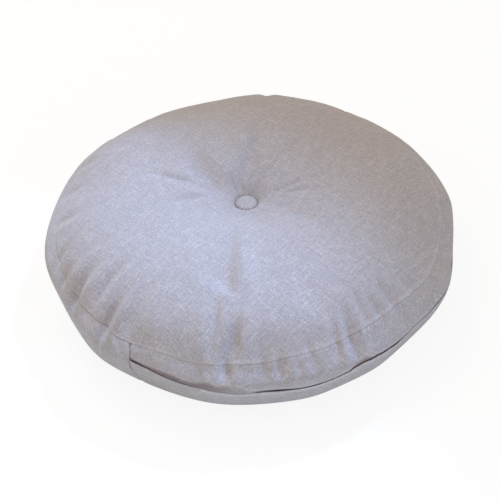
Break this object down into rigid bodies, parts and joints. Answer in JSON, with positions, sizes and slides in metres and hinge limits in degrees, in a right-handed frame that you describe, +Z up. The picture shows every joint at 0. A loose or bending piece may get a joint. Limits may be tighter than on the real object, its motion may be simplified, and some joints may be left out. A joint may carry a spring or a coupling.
{
  "type": "linen floor pouf",
  "caption": "Round boxed linen floor pouf with a crowned top, a tuft with a cloth-covered button and a side slit between two strips.",
  "frame": {"origin": "middle of the flat underside, where the pouf stands on the ground", "axes": "+Z up through the button; -Y is the front, where the slit starts at the left and runs to the right"},
  "size_m": [0.5486, 0.548, 0.135],
  "materials": {
    "linen": "matt plain-woven linen, grain on the bias across the top",
    "linen_side": "matt plain-woven linen, grain along the strips"
  },
  "bodies": {
    "root": {"cushion": "linen", "band_plain": "linen_side", "placket_upper": "linen_side", "placket_lower": "linen_side", "button": "linen"}
  },
  "joints": []
}
